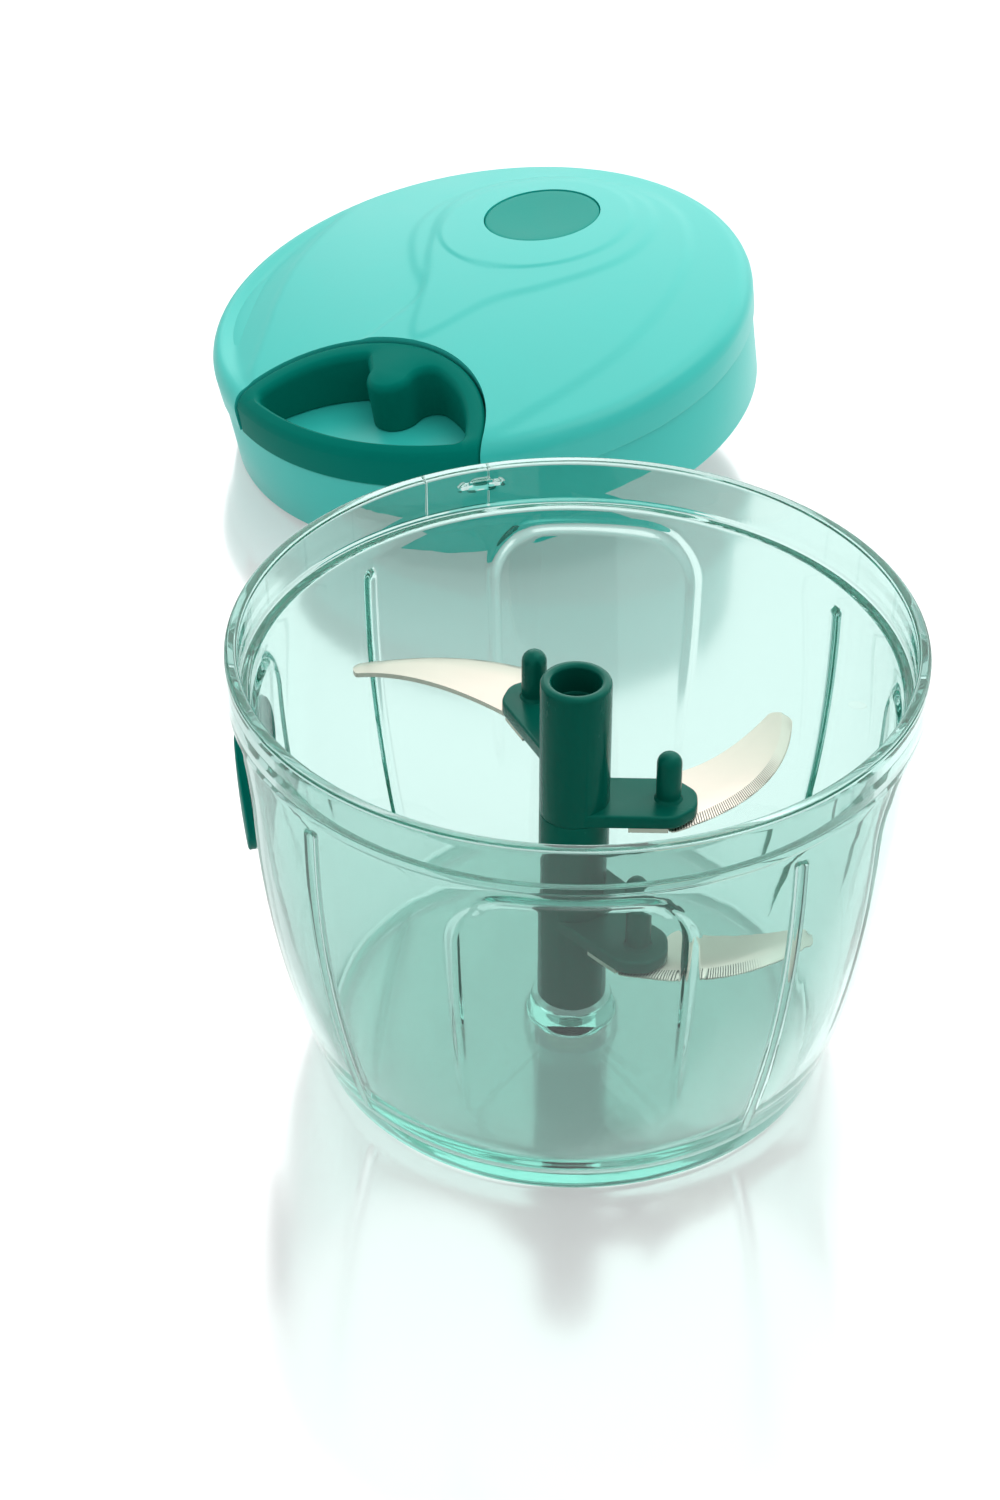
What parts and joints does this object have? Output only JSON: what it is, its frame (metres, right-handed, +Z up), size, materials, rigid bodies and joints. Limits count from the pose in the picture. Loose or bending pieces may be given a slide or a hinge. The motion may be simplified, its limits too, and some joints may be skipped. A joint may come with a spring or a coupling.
{
  "type": "manual pull cord food chopper",
  "caption": "Hand-pulled food chopper: clear bowl with a spinning blade set on a pin, and a domed lid beside it with a pull handle, cord reel and recoil spring.",
  "frame": {"origin": "centre of the bowl's base, on the table", "axes": "+Z up along the bowl's axis, +Y towards the lid that stands behind the bowl, +X to the right as pictured"},
  "size_m": [0.1589, 0.3646, 0.0917],
  "materials": {
    "clear_plastic": "clear, glossy, pale green tint",
    "aqua_plastic": "satin gloss",
    "deep_green": "satin gloss",
    "cap_green": "gloss",
    "blade_steel": "fine satin",
    "steel": "plain",
    "brass": "turned",
    "cord": "braided cord"
  },
  "bodies": {
    "bowl_body": {"bowl": "clear_plastic", "pivot_pin": "steel", "side_badge": "deep_green"},
    "blade_body": {"stem_upper": "deep_green", "stem_lower": "deep_green", "pivot_bush": "brass", "upper_blade": "blade_steel", "middle_blade": "blade_steel", "lower_blade": "blade_steel", "upper_peg": "deep_green", "middle_peg": "deep_green", "lower_peg": "deep_green"},
    "lid_body": {"lid_base": "aqua_plastic", "lid_shell": "aqua_plastic", "top_cap": "cap_green", "lid_screws": "steel", "spindle_bush": "brass", "cord_eyelet": "brass", "cord_lead": "cord", "recoil_spring": "steel"},
    "reel_body": {"drive_spindle": "steel", "cord_reel": "deep_green", "reel_flange": "deep_green", "retaining_clip": "steel", "cord_winding": "cord"},
    "handle_body": {"pull_handle": "deep_green", "cord_knot": "cord"}
  },
  "joints": [
    {"name": "blade_spin", "type": "hinge", "parent": "bowl_body", "child": "blade_body", "pos_m": [0, 0, 0], "axis": [0, 0, 1], "continuous": true},
    {"name": "lid_lift", "type": "slide", "parent": "bowl_body", "child": "lid_body", "axis": [0, 0, 1], "range_m": [0, 0.15]},
    {"name": "handle_pull", "type": "slide", "parent": "lid_body", "child": "handle_body", "axis": [-0.5, -0.866, 0], "range_m": [0, 0.36], "stiffness_N_per_m": 12, "springref_m": -0.25, "deforming": ["cord_lead"]},
    {"name": "reel_spin", "type": "hinge", "parent": "lid_body", "child": "reel_body", "pos_m": [-0.022, 0.232, 0.01073], "axis": [-0.1494, -0.0544, 0.9873], "range_deg": [0, 1620], "deforming": ["recoil_spring"]}
  ],
  "couplings": [
    {"joint": "reel_spin", "follows": "handle_pull", "rad_per_m": 78.431}
  ]
}
